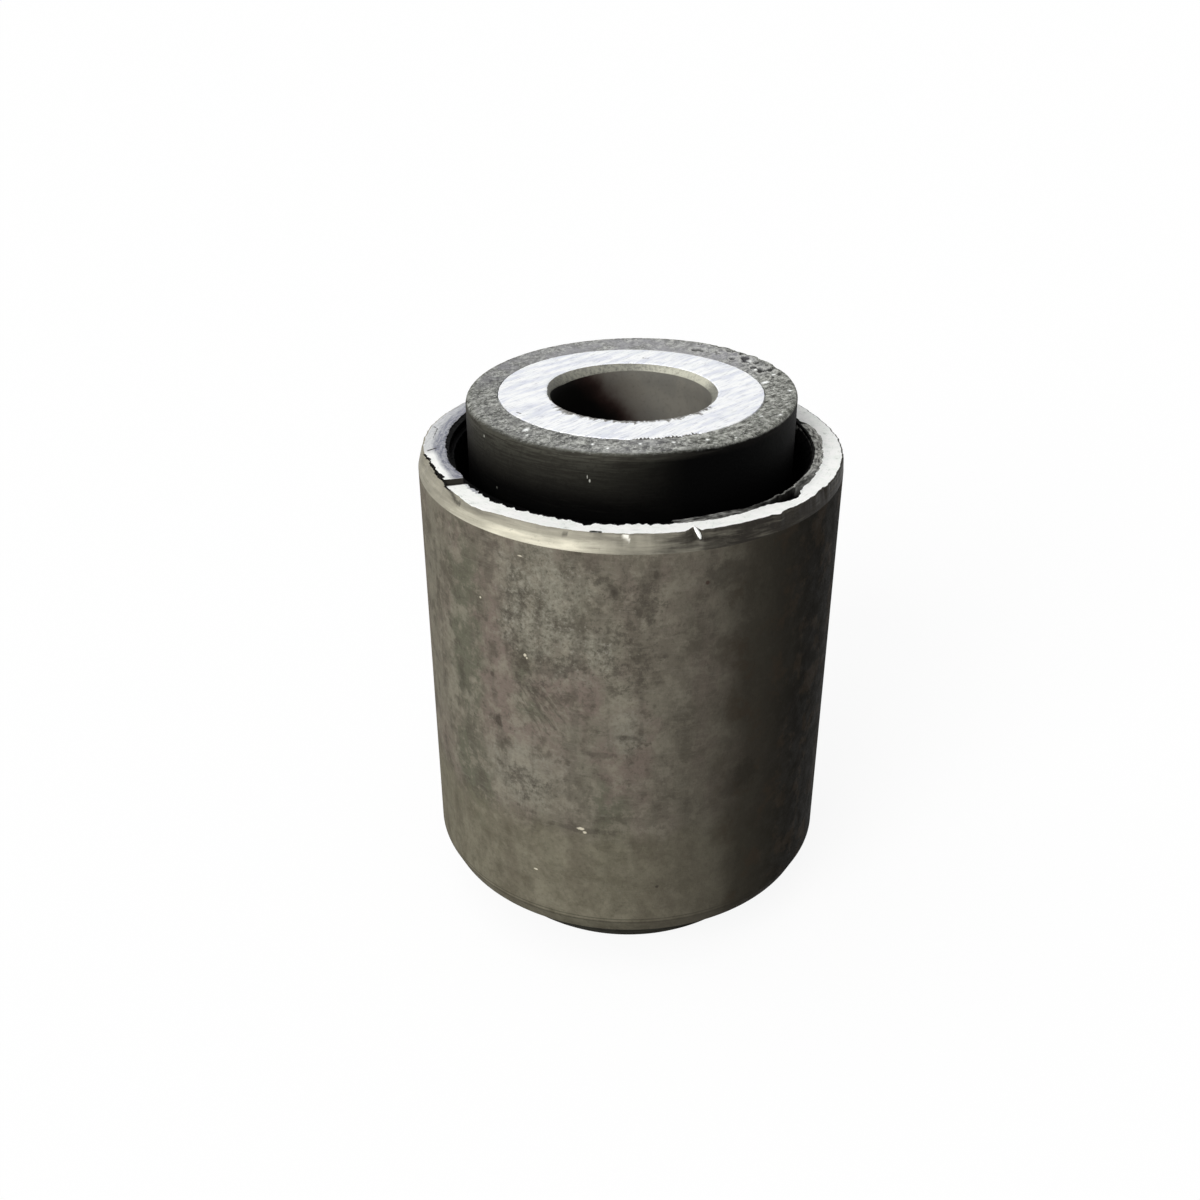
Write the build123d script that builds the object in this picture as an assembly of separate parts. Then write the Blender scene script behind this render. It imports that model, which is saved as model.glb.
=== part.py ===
from build123d import *
import os

# Rubber metal bush: a steel inner sleeve and a steel outer sleeve, held
# together by one rubber moulding that is bonded to both while it cures.
# The axis is Z. The bush stands on the lower end of its inner sleeve, and the
# origin is on the axis at that end. Millimetres.

# ---------------------------------------------------------------- dimensions

# Inner sleeve: sets the overall height and clamps against the bracket.
inner_length = 43.0
inner_radius = 9.9
bore_radius = 6.0
bore_chamfer = 0.4

# Outer sleeve: pressed into the eye of the arm. Its upper end was faced and
# chamfered out of square, so the sleeve is shortest on the -Y side.
outer_length = 34.5
outer_bottom = 4.5
outer_radius = 16.0
outer_wall = 2.35
lead_in_height = 1.2
lead_in_depth = 0.55
faced_angle = 1.65

# Rubber: a thick ring between the sleeves, a collar round each projecting end
# of the inner sleeve, a narrow relief groove outside each collar, and a thin
# skin left up the bore of the outer sleeve.
collar_radius = 12.25
skin_thickness = 0.45
skin_set_back = 0.2
groove_depth = 5.0
groove_nose = 0.25
lower_collar_gap = 0.6
lower_collar_chamfer = 0.45

# The upper collar was moulded long and sawn off level with the sleeve, but it
# sprang back out of true: it stands proud on the side of sawn_direction.
sawn_proud = 0.07
sawn_angle = 1.9
sawn_direction = 45.0

# Extra length on whatever is moulded or cut long and then trimmed.
allowance = 1.0

# Lap in the upper rim of the outer sleeve, where the facing cut ran out. It
# rises from nothing at lap_start to a step at lap_end, both measured along Y.
lap_start = -1.6
lap_end = -7.85
lap_rise = 0.45
lap_edge = 0.25

# Bite in the same rim, where the rubber skin tore away from the steel.
bite_angle = -37.0
bite_reach = 14.5
bite_radius = 6.6
bite_depth = 0.8
bite_end_angle = -34.5
torn_lip = 0.2

# Burr on the same rim: a shaving bent over its outer corner, clear of the chamfer.
burr_angle = -73.2
burr_width = 0.45
burr_thickness = 0.14
burr_root = 0.45
burr_reach = 0.45
burr_droop = 0.35

# -------------------------------------------------------------- derived sizes

outer_bore = outer_radius - outer_wall
outer_top = outer_bottom + outer_length
face_radius = outer_radius - lead_in_depth
skin_radius = outer_bore - skin_thickness

# The faced end of the outer sleeve: what lies on it is drawn from height 0.
rim = Pos(0, 0, outer_top) * Rot(faced_angle, 0, 0)


def turned(*outline):
    """Turn a closed outline of (radius, height) corners about the Z axis."""
    section = make_face(Polyline(*outline, close=True))
    return revolve(Plane.XZ * section, Axis.Z)


def ring(inside, outside, bottom, top):
    """Plain ring between two radii and two heights."""
    return turned((inside, bottom), (outside, bottom), (outside, top), (inside, top))


# --------------------------------------------------------------- inner sleeve

def make_inner_sleeve():
    """Thick tube, sawn and faced to length, with both ends of the bore chamfered."""
    mouth = bore_radius + bore_chamfer
    return turned(
        (mouth, 0),
        (inner_radius, 0),
        (inner_radius, inner_length),
        (mouth, inner_length),
        (bore_radius, inner_length - bore_chamfer),
        (bore_radius, bore_chamfer),
    )


# --------------------------------------------------------------- outer sleeve

def make_lap():
    """Thin ramp of metal pushed up on the rim, ending in a step across the wall."""
    side = make_face(Polyline(
        (lap_start, 0),
        (lap_start, -lap_rise),
        (lap_end, -lap_rise),
        (lap_end, lap_rise),
        close=True,
    ))
    wedge = rim * extrude(Plane.YZ * side, amount=-outer_radius)
    return wedge & ring(outer_bore, face_radius - lap_edge, outer_top - allowance, outer_top + allowance)


def make_bite():
    """Crescent taken out of the inner corner of the rim, with one blunt end."""
    centre = bite_reach - bite_radius
    crescent = Rot(0, 0, bite_angle) * Pos(centre, 0, 0) * Cylinder(bite_radius, 2 * bite_depth)
    beyond = Rot(0, 0, bite_end_angle) * Pos(outer_radius, outer_radius / 2, 0) * Box(
        outer_radius, outer_radius, 3 * bite_depth
    )
    return rim * (crescent - beyond)


def make_burr():
    """Shaving that starts flat on the rim and hangs over its outer corner."""
    side = make_face(Polyline(
        (face_radius - burr_root, -burr_thickness),
        (face_radius - burr_root, 0),
        (face_radius, burr_thickness),
        (face_radius + burr_reach, -burr_droop),
        (face_radius + burr_reach - burr_thickness, -burr_droop),
        (face_radius - burr_thickness / 2, -burr_thickness),
        close=True,
    ))
    strip = extrude(Plane.XZ * side, amount=burr_width / 2, both=True)
    return rim * Rot(0, 0, burr_angle) * strip


def make_outer_sleeve():
    """Tube with a press-in chamfer at each end, and the damage to its upper rim."""
    blank = turned(
        (outer_bore, outer_bottom),
        (face_radius, outer_bottom),
        (outer_radius, outer_bottom + lead_in_height),
        (outer_radius, outer_top + allowance),
        (outer_bore, outer_top + allowance),
    )
    below_the_tool = rim * turned(
        (0, 0),
        (face_radius, 0),
        (face_radius + 2 * lead_in_depth, -2 * lead_in_height),
        (2 * outer_radius, -2 * lead_in_height),
        (2 * outer_radius, -2 * outer_length),
        (0, -2 * outer_length),
    )
    return (blank & below_the_tool) + make_lap() + make_burr() - make_bite()


# --------------------------------------------------------------------- rubber

def groove_core(mouth, inward):
    """Ring of the mould that forms a relief groove: a thin wall with a crowned nose."""
    root = mouth - inward * allowance
    tip = mouth + inward * groove_depth
    shoulder = tip - inward * groove_nose
    middle = (collar_radius + skin_radius) / 2
    section = make_face([
        Line((collar_radius, root), (collar_radius, shoulder)),
        ThreePointArc((collar_radius, shoulder), (middle, tip), (skin_radius, shoulder)),
        Line((skin_radius, shoulder), (skin_radius, root)),
        Line((skin_radius, root), (collar_radius, root)),
    ])
    return revolve(Plane.XZ * section, Axis.Z)


def make_collars():
    """Sleeve of rubber right through the bush, its upper end sawn a little out of true."""
    blank = turned(
        (inner_radius, lower_collar_gap),
        (collar_radius - lower_collar_chamfer, lower_collar_gap),
        (collar_radius, lower_collar_gap + lower_collar_chamfer),
        (collar_radius, inner_length + allowance),
        (inner_radius, inner_length + allowance),
    )
    end = Pos(0, 0, inner_length + sawn_proud)
    saw_cut = Plane(end * Rot(0, 0, sawn_direction) * Rot(0, -sawn_angle, 0))
    return split(blank, bisect_by=saw_cut, keep=Keep.BOTTOM)


def make_rubber_body():
    """One moulding: ring, two collars, two relief grooves and the skin in the bore."""
    blank = ring(inner_radius, outer_bore, outer_bottom + skin_set_back, outer_top + allowance)
    web = split(blank, bisect_by=Plane(rim * Pos(0, 0, -skin_set_back)), keep=Keep.BOTTOM)
    body = web - groove_core(outer_top, -1) - groove_core(outer_bottom, 1)
    torn_skin = make_bite() & ring(skin_radius + torn_lip, outer_radius, outer_bottom, outer_top)
    return body + make_collars() - torn_skin


# ----------------------------------------------------------------------- nodes

os.makedirs("parts", exist_ok=True)
nodes = {
    "outer_sleeve": make_outer_sleeve(),
    "rubber_body": make_rubber_body(),
    "inner_sleeve": make_inner_sleeve(),
}
for name, solid in nodes.items():
    export_step(solid, f"parts/{name}.step")
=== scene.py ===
import math
import bpy
import numpy as np
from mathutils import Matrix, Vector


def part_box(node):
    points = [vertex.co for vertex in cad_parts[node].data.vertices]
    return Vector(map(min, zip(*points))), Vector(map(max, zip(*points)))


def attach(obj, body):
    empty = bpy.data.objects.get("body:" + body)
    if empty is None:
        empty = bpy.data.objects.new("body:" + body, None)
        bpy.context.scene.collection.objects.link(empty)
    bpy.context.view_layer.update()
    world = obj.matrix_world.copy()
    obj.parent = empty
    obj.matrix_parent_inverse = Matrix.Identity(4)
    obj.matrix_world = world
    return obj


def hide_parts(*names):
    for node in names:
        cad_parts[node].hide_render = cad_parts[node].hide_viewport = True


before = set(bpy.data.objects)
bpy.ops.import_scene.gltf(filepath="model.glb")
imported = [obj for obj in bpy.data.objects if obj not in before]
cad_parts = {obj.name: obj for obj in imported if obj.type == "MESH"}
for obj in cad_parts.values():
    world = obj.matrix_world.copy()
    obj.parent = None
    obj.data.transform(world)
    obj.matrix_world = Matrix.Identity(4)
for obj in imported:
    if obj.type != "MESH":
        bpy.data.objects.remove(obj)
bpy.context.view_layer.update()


# ---------------------------------------------------- inner steel sleeve
# A thick tube that takes the bolt. It was sawn and ground to length together
# with the rubber, so its end face is bright and scratched one way, while the
# bore keeps the dull skin of the drawn tube.

MM = 0.001
_, inner_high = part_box("inner_sleeve")
inner_radius = inner_high.x / MM
inner_top = inner_high.z / MM
bore_radius = 6.0
inner_segments = 840

# width of the broken edge of the bore, which was cut off centre
bevel_widths = {
    -180: 0.26, -150: 0.3, -60: 0.4, 0: 0.5, 40: 0.46, 90: 0.46, 125: 0.58, 150: 0.62, 168: 0.42,
}
# nicks in the end face, each a (start, end, width, depth)
inner_nicks = (
    ((-8.1, -4.88), (-7.8, -5.12), 0.15, 0.8),
    ((0.92, 7.68), (1.3, 7.54), 0.22, 0.5),
)


def share(value, start, end):
    """How far a value has come from start to end, from 0 to 1."""
    return np.clip((value - start) / (end - start), 0, 1)


def window(angles, start, end, soft):
    """1 between two angles and 0 outside them, with soft degrees of change at each end."""
    half = soft / 2
    return share(angles, start - half, start + half) * share(angles, end + half, end - half)


def along(angles, stops):
    """A value that changes round the axis, through some stops of {degrees: value}."""
    places = sorted(stops)
    return np.interp(angles, places, [stops[p] for p in places], period=360)


def ragged(angles, seed, step, size):
    """Uneven line round the axis: smooth random bumps about step degrees long and size high."""
    lots = np.random.RandomState(seed)
    line = np.zeros_like(angles)
    for finer in (1, 2, 4):
        count = int(round(360 / step * finer))
        heights = lots.uniform(-1, 1, count)
        place = (angles + 180) / 360 * count
        low = np.floor(place).astype(int)
        part = place - low
        part = part * part * (3 - 2 * part)
        line += (heights[low % count] * (1 - part) + heights[(low + 1) % count] * part) / finer
    return line * size / 1.75


def put(name, data):
    """Puts a mesh, a lamp or a camera in the scene."""
    thing = bpy.data.objects.new(name, data)
    bpy.context.collection.objects.link(thing)
    return thing


def blend(first, second, part):
    """The first value at part 0 and the second at part 1."""
    return first * (1 - part) + second * part


class Skin:
    """Closed skin about the axis, made of rings that run up the outside and down the inside."""

    def __init__(self, segments):
        self.angles = np.linspace(-180.0, 180.0, segments, endpoint=False)
        self.rings = []
        self.marks = {}

    def ring(self, radius, height, finish=0, turn=0.0):
        """Adds a ring, twisted by turn degrees. Each number may change round the axis."""
        self.rings.append((radius, height, finish, turn))

    def tube(self, radius, heights, finish=0):
        """Adds a ring of one radius at each height."""
        for height in heights:
            self.ring(radius, height, finish)

    def plan(self, row):
        """The x and y of each point of a ring."""
        radius, _, _, turn = self.rings[row]
        place = np.radians(self.angles + turn)
        return radius * np.cos(place), radius * np.sin(place)

    def nicked(self, row, nicks):
        """How deep each point of a ring lies in a list of straight nicks across an end face."""
        x, y = self.plan(row)
        deepest = np.zeros_like(x)
        for start, end, width, depth in nicks:
            start, run = np.array(start), np.subtract(end, start)
            part = np.clip(((x - start[0]) * run[0] + (y - start[1]) * run[1]) / (run @ run), 0, 1)
            away = np.hypot(x - start[0] - part * run[0], y - start[1] - part * run[1])
            deepest = np.maximum(deepest, np.clip(1.5 - away / (width / 2), 0, 1) * depth)
        return deepest

    def mark(self, title, value=0.0):
        """A mask for the finishes to read, with a number for each point of each ring."""
        self.marks[title] = np.full((len(self.rings), len(self.angles)), value)
        return self.marks[title]

    def make(self, name, *finishes):
        """Makes the mesh, with its finishes and masks."""
        count, segments = len(self.rings), len(self.angles)
        points = np.zeros((count, segments, 3))
        for row in range(count):
            points[row, :, 0], points[row, :, 1] = self.plan(row)
            points[row, :, 2] = self.rings[row][1]
        here = np.arange(count * segments).reshape(count, segments)
        after = np.roll(here, -1, 0)
        quads = np.stack([here, np.roll(here, -1, 1), np.roll(after, -1, 1), after], 2)
        mesh = bpy.data.meshes.new(name)
        mesh.from_pydata((points.reshape(-1, 3) * MM).tolist(), [], quads.reshape(-1, 4).tolist())
        for finish in finishes:
            mesh.materials.append(finish)
        numbers = np.concatenate([np.broadcast_to(ring[2], segments) for ring in self.rings])
        mesh.polygons.foreach_set("material_index", numbers.astype(np.int32))
        for title, values in self.marks.items():
            layer = mesh.attributes.new(title, "FLOAT", "POINT")
            layer.data.foreach_set("value", np.clip(values, 0, 1).astype(np.float32).ravel())
        mesh.update()
        mesh.polygons.foreach_set("use_smooth", [True] * len(mesh.polygons))
        mesh.set_sharp_from_angle(angle=math.radians(40))
        return put(name, mesh)


def colour(red, green, blue):
    """A colour as seen on a screen, 0 to 255, turned into the shader's own numbers."""
    parts = [c / 255 for c in (red, green, blue)]
    return tuple(c / 12.92 if c <= 0.04045 else ((c + 0.055) / 1.055) ** 2.4 for c in parts) + (1.0,)


def feed(tree, node, inputs):
    """Feeds a node's inputs with values or with other nodes' outputs."""
    for title, value in inputs.items():
        if isinstance(value, bpy.types.NodeSocket):
            tree.links.new(value, node.inputs[title])
        else:
            node.inputs[title].default_value = value


def add_node(tree, kind, inputs=None, **settings):
    """Adds a shader node with its settings and inputs."""
    node = tree.nodes.new("ShaderNode" + kind)
    for title, value in settings.items():
        setattr(node, title, value)
    feed(tree, node, inputs or {})
    return node


class Finish:
    """One surface finish, built up from patterns with sizes in millimetres."""

    def __init__(self, name, metal, gloss):
        self.material = bpy.data.materials.new(name)
        self.material.use_nodes = True
        self.tree = self.material.node_tree
        self.shader = self.tree.nodes["Principled BSDF"]
        feed(self.tree, self.shader, {"Metallic": metal, "Specular IOR Level": gloss})
        own = self.add("TexCoord").outputs["Object"]
        self.place = self.vector("MULTIPLY", own, (1 / MM, 1 / MM, 1 / MM))

    def add(self, kind, inputs=None, **settings):
        return add_node(self.tree, kind, inputs, **settings)

    def vector(self, operation, first, second=(0, 0, 0)):
        node = self.add("VectorMath", {0: first, 1: second}, operation=operation)
        return node.outputs["Value" if operation == "LENGTH" else "Vector"]

    def math(self, operation, first, second=0.0):
        return self.add("Math", {0: first, 1: second}, operation=operation).outputs[0]

    def plus(self, first, second):
        return self.math("ADD", first, second)

    def minus(self, first, second):
        return self.math("SUBTRACT", first, second)

    def times(self, first, second):
        return self.math("MULTIPLY", first, second)

    def sides(self):
        """The place on the bush, split into x, y and height."""
        return self.add("SeparateXYZ", {0: self.place}).outputs

    def grain(self, size, stretch=(1, 1, 1), detail=4, roughness=0.55, shift=0.0, turn=0.0, place=None):
        """Cloudy pattern with features about size mm across, longer where stretch is over 1."""
        place = place or self.place
        if turn:
            inputs = {"Vector": place, "Angle": math.radians(turn)}
            place = self.add("VectorRotate", inputs, rotation_type="Z_AXIS").outputs[0]
        place = self.vector("MULTIPLY", place, tuple(1 / s for s in stretch))
        place = self.vector("ADD", place, (shift, shift * 0.7, shift * 1.3))
        inputs = {"Vector": place, "Scale": 1 / size, "Detail": detail, "Roughness": roughness}
        return self.add("TexNoise", inputs).outputs["Fac"]

    def sway(self, pattern, size):
        """A pattern centred on 0 and made size times as strong, to make an edge uneven."""
        return self.times(self.minus(pattern, 0.5), size)

    def between(self, value, low, high, bottom=0.0, top=1.0):
        """Eases from bottom to top as value goes from low to high."""
        inputs = {"Value": value, "From Min": low, "From Max": high, "To Min": bottom, "To Max": top}
        return self.add("MapRange", inputs, interpolation_type="SMOOTHSTEP").outputs["Result"]

    def layer(self, amount, under, over):
        """Lays one colour over another, as much as amount says."""
        under, over = [colour(*paint) if isinstance(paint, tuple) else paint for paint in (under, over)]
        inputs = {"Factor": amount, "A": under, "B": over}
        return self.add("Mix", inputs, data_type="RGBA").outputs["Result"]

    def coats(self, under, *coats, zone=None):
        """Lays on coats, each a (pattern, where it starts, where it is full, depth, colour)."""
        for pattern, start, full, depth, over in coats:
            amount = self.between(pattern, start, full, 0, depth)
            under = self.layer(amount if zone is None else self.times(amount, zone), under, over)
        return under

    def mark(self, title):
        """A mask that was painted on the skin."""
        return self.add("Attribute", attribute_name=title).outputs["Fac"]

    def finish(self, base, roughness, *heights):
        """Sets the colour and roughness, and stacks the bumps, each a (pattern, depth in mm)."""
        inputs = {}
        for pattern, depth in heights:
            node = self.add("Bump", {"Height": pattern, "Distance": depth * MM, **inputs})
            inputs = {"Normal": node.outputs[0]}
        feed(self.tree, self.shader, {"Base Color": base, "Roughness": roughness, **inputs})
        return self.material


def ground_steel():
    """Bright steel, ground one way: fine grey scratches on white, with faint bluish streaks."""
    steel = Finish("ground_steel", metal=0.2, gloss=0.15)
    scratches = steel.grain(0.1, stretch=(10, 1, 1), roughness=0.65, turn=-50)
    deep = steel.grain(0.12, stretch=(13, 1, 1), detail=3, turn=-42, shift=12)
    streaks = steel.grain(0.6, stretch=(6, 1, 1), turn=-48, shift=7)
    clouds = steel.grain(1.5, roughness=0.65, shift=3)
    crumbs = steel.grain(0.3, detail=5, roughness=0.7, shift=23)
    base = steel.coats(
        (250, 251, 251),
        (streaks, 0.4, 0.64, 1.0, (222, 225, 234)),
        (clouds, 0.45, 0.7, 0.6, (236, 239, 240)),
        (scratches, 0.54, 0.68, 0.75, (172, 173, 183)),
        (scratches, 0.44, 0.34, 0.6, (255, 255, 255)),
        (deep, 0.66, 0.74, 0.6, (122, 122, 130)),
    )
    # grime, which the mask also lays on as painted shade
    grime = steel.coats((72, 70, 66), (scratches, 0.4, 0.6, 1.0, (150, 148, 143)))
    dirt = steel.mark("dirt")
    dirt = steel.plus(dirt, steel.times(steel.sway(crumbs, 2.4), steel.between(dirt, 0.0, 0.3)))
    base = steel.layer(steel.between(dirt, 0.3, 0.75), base, grime)
    return steel.finish(base, steel.between(scratches, 0.2, 0.8, 0.42, 0.62), (scratches, 0.012))


def bevelled_steel():
    """The broken edge of the bore: olive grey, with a cream painted highlight at the back, where it faces the
    light.
    """
    steel = Finish("bevelled_steel", metal=0.2, gloss=0.1)
    specks = steel.grain(0.22, roughness=0.65, shift=5)
    grease = steel.plus(steel.mark("bright"), steel.times(specks, 0.8))
    base = steel.coats(
        (96, 96, 90),
        (grease, 0.5, 1.3, 1.0, (212, 210, 192)),
        (specks, 0.55, 0.7, 0.5, (84, 82, 74)),
    )
    base = steel.layer(steel.mark("dirt"), base, (48, 46, 43))
    return steel.finish(base, steel.between(specks, 0.3, 0.7, 0.4, 0.6), (specks, 0.02))


def drawn_bore():
    """Dull skin inside a drawn tube: grey-brown, with painted shade that turns one side black through a
    reddish fringe.
    """
    steel = Finish("drawn_bore", metal=0.0, gloss=0.06)
    grit = steel.grain(0.3, roughness=0.65)
    clouds = steel.grain(2.0, shift=11)
    # painted shade, darker deeper down the bore and towards one side
    x, _, height = steel.sides()
    soot = steel.minus(steel.times(steel.minus(height, inner_top), -0.8), x)
    soot = steel.plus(soot, steel.times(clouds, 2.4))
    base = steel.coats(
        (103, 101, 95),
        (clouds, 0.3, 0.7, 1.0, (113, 110, 102)),
        (grit, 0.5, 0.75, 0.4, (84, 80, 74)),
        (soot, 1.2, 4.6, 0.5, (70, 62, 57)),
        (soot, 3.4, 5.6, 1.0, (46, 33, 30)),
        (soot, 4.4, 6.8, 1.0, (7, 6, 5)),
    )
    return steel.finish(base, steel.between(clouds, 0.3, 0.7, 0.5, 0.7), (grit, 0.01))


def make_inner_sleeve():
    skin = Skin(inner_segments)
    angles = skin.angles
    face, bevel, bore = range(3)
    burred = window(angles, -150, -32, 14)
    toothed = window(angles, -88, -62, 5)
    teeth = abs((angles / 1.45) % 1 - 0.35) * (1 + ragged(angles, 17, 3.0, 0.6))
    outer_edge = inner_radius - 0.06 + ragged(angles, 11, 1.0, 0.06) * (0.6 + 0.8 * burred + 3 * toothed)
    outer_edge = np.minimum(outer_edge, inner_radius - 0.005) - toothed * np.clip(teeth - 0.1, 0, 1) * 0.6
    bevel_width = along(angles, bevel_widths)
    mouth = bore_radius + bevel_width + ragged(angles, 12, 1.6, 0.05)
    mouth += burred * (0.04 + ragged(angles, 13, 2.0, 0.06))

    skin.tube(inner_radius, (0.12, 0.5, inner_top - 1.2, inner_top - 0.5), face)
    skin.ring(outer_edge, inner_top - 0.06, face)
    first_face = len(skin.rings)
    for part in np.linspace(0, 1, 40):
        radius = blend(outer_edge - 0.04, mouth, part)
        skin.ring(radius, inner_top - 0.0015 - 0.012 * (part == 1), face)
    for part in np.linspace(0.12, 1, 7):
        radius = blend(mouth, bore_radius, part)
        skin.ring(radius, inner_top - 0.03 - bevel_width * part ** 1.5, bore if part == 1 else bevel)
    first_bore = len(skin.rings)
    skin.tube(bore_radius, np.linspace(inner_top - 1.4, 1.4, 12), bore)
    skin.ring(bore_radius, 0.45, bevel)
    skin.ring(bore_radius + 0.45, 0.0, face)
    for radius in np.linspace(bore_radius + 0.45, inner_radius - 0.12, 6)[1:]:
        skin.ring(radius, 0.0, face)

    dirt = skin.mark("dirt")
    bright = skin.mark("bright")
    grimy = mouth + 0.7 + ragged(angles, 14, 2.5, 0.4)
    patchy = toothed * np.clip(ragged(angles, 15, 1.1, 4.0), 0, 1)
    # painted shade on the outer edge, in the gap against the rubber: a little where it is burred, full where
    # it is toothed
    dirt[first_face - 2:first_face] = np.clip(0.3 * burred + toothed, 0, 1)
    # painted highlight on the bevel, brightest at the back where it faces the light
    bright[first_face:first_bore] = along(angles, {
        -180: 0.2, -60: 0.3, 10: 0.3, 25: 0.62, 60: 0.52, 90: 0.3, 130: 0.34,
    })
    for row in range(first_face, first_bore):
        radius = skin.rings[row][0]
        dirt[row] = np.maximum.reduce([
            share(radius, grimy, grimy - 0.7) * burred,
            share(radius, outer_edge - 0.12, outer_edge - 0.02) * patchy,
            skin.nicked(row, inner_nicks),
        ])
    return skin.make("inner_sleeve_steel", ground_steel(), bevelled_steel(), drawn_bore())


inner_sleeve = make_inner_sleeve()
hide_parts("inner_sleeve")
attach(inner_sleeve, "root")


# ---------------------------------------------------- outer steel sleeve
# A drawn and pickled tube with a press-in chamfer turned on each end. Its upper
# rim was faced in the lathe: the tool left a lap standing on one side, and tore
# the inner corner away with the rubber on the other.

outer_low, outer_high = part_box("outer_sleeve")
outer_radius = outer_high.x / MM
outer_bottom = outer_low.z / MM
outer_top = outer_bottom + 34.5
faced_slope = math.tan(math.radians(1.65))
outer_bore = outer_radius - 2.35
lead_in_height = 1.2
face_radius = outer_radius - 0.55
outer_segments = 1080
wall_mm_per_degree = outer_radius * math.pi / 180
rim_mm_per_degree = 15.0 * math.pi / 180

# where the bright face ends inside: it is broken back most where the rubber tore
rim_inner_edge = {
    -180: 14.0, -169: 13.88, -157: 13.95, -152: 13.84, -146: 14.1, -141: 14.2, -135: 14.1, -132: 14.4,
    -129: 14.15, -120: 14.07, -105: 14.1, -102: 14.5, -99: 14.1, -87: 13.97, -81: 14.12, -72: 14.12,
    -66: 14.25, -51: 14.28, -48: 14.35, -45.6: 14.67, -42.5: 14.9, -40: 15.06, -38: 14.95, -35.3: 14.57,
    -33: 14.48, -5: 14.4, 4: 14.55, 11: 14.4, 15: 14.2, 18: 13.95, 22: 13.8, 60: 13.9, 120: 13.9,
    158: 14.22, 174: 14.08,
}
# where it ends outside: drawn in along the lap, notched under the burr, thrown out at a nib
rim_outer_edge = {
    -180: 15.58, -173: 15.56, -168: 15.4, -165: 15.2, -153: 15.15, -148.4: 15.12, -147.6: 15.36,
    -141: 15.42, -137: 15.55, -133: 15.72, -130: 15.7, -127: 15.5, -124: 15.41, -90: 15.31, -77: 15.35,
    -76.4: 15.4, -74.9: 15.12, -73.5: 14.76, -73.1: 14.8, -72.1: 15.4, -60: 15.5, -52: 15.62,
    -50.2: 15.85, -48.5: 15.65, -36: 15.75, -30.4: 15.6, -29.6: 15.77, -12: 15.78, 4: 15.7, 17: 15.48,
    60: 15.5, 156: 15.42, 170: 15.62,
}
# how bright the press-in chamfer is painted round the axis: a painted highlight on the lit side and painted
# shade on the other
chamfer_glow = {
    -180: 0.38, -160: 0.4, -146: 0.46, -136: 0.62, -124: 0.76, -104: 0.74, -97: 0.52, -88: 0.36,
    -80: 0.22, -70: 0.1, -50: 0.01, 30: 0.02, 90: 0.25, 150: 0.38,
}
rim_nicks = (
    ((-15.04, -2.25), (-14.52, -1.69), 0.16, 1.0), ((-15.23, 2.46), (-14.91, 2.06), 0.12, 0.6),
    ((-14.91, 2.06), (-15.0, 0.2), 0.12, 0.6), ((-12.64, -8.8), (-12.09, -9.92), 0.12, 0.8),
    ((-12.09, -9.92), (-11.67, -10.54), 0.1, 0.7), ((-2.5, -15.05), (-1.9, -15.12), 0.3, 0.7),
    ((-4.4, -14.95), (-4.1, -14.97), 0.12, 0.6),
)
chamfer_chips = (
    ((-0.36, -15.37), (-0.14, -15.44), 0.2, 1.0),
    ((-0.1, -15.5), (-0.02, -15.6), 0.08, 1.0),
)
lap_from, lap_to, lap_rise = -174.0, -146.1, 0.42
lap_lean, lap_pivot = -1.3, 14.0
corner_break, tear_depth = 0.05, 0.72


def faced(radius, angles):
    """Height of the faced end, which is out of square with the tube: lowest at the front."""
    return outer_top + faced_slope * radius * np.sin(np.radians(angles))


def rim_inner_line(angles):
    """The broken inner edge with its small teeth."""
    teeth = 0.08 + 0.14 * window(angles, -142, -78, 6)
    edge = along(angles, rim_inner_edge) + ragged(angles, 21, 2.5, 0.08)
    return edge + ragged(angles, 24, 1.1, 1.0) * teeth


def rim_break_depth(angles):
    """How far the inner corner is broken down: a hair all round, and deep in the tear."""
    torn = along(angles, {-58: 0, -50: 0.3, -44: 0.9, -34.4: 1, -33: 0})
    return corner_break + torn * tear_depth


class RoundFinish(Finish):
    """A finish with marks placed by height and by degrees round from the front."""

    def __init__(self, name, metal, gloss):
        super().__init__(name, metal, gloss)
        x, y, self.height = self.sides()
        turn = self.math("ARCTAN2", x, self.times(y, -1.0))
        self.swing = self.times(turn, 180 / math.pi)

    def pair(self, first, second):
        """A flat place made of two distances."""
        return self.add("CombineXYZ", {0: first, 1: second}).outputs[0]

    def rings(self):
        """Place on an end face as (radius, distance round the axis)."""
        radius = self.vector("LENGTH", self.vector("MULTIPLY", self.place, (1, 1, 0)))
        return self.pair(radius, self.times(self.swing, rim_mm_per_degree))

    def unrolled(self):
        """Place on the tube wall as (distance round it, height)."""
        return self.pair(self.times(self.swing, wall_mm_per_degree), self.height)

    def blot(self, degrees, height, wide, tall, wild, edge):
        """1 inside a blot and 0 outside. Its outline is as uneven as wild times the edge pattern."""
        across = self.times(self.minus(self.swing, degrees), wall_mm_per_degree / wide)
        above = self.times(self.minus(self.height, height), 1 / tall)
        reach = self.vector("LENGTH", self.pair(across, above))
        return self.between(self.plus(reach, self.sway(edge, wild)), 1.3, 0.5)

    def blots(self, places, wild, edge):
        """Several blots in one, each a (degrees, height, wide, tall)."""
        total = self.blot(*places[0], wild, edge)
        for place in places[1:]:
            total = self.math("MAXIMUM", total, self.blot(*place, wild, edge))
        return total

    def spots(self, pattern, zone, scarce, dense, edge):
        """Spots cut out of a pattern at the level scarce, and in the zone at the lower level dense."""
        level = self.plus(pattern, self.times(zone, scarce - dense))
        return self.between(level, scarce - edge / 2, scarce + edge / 2)


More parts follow.
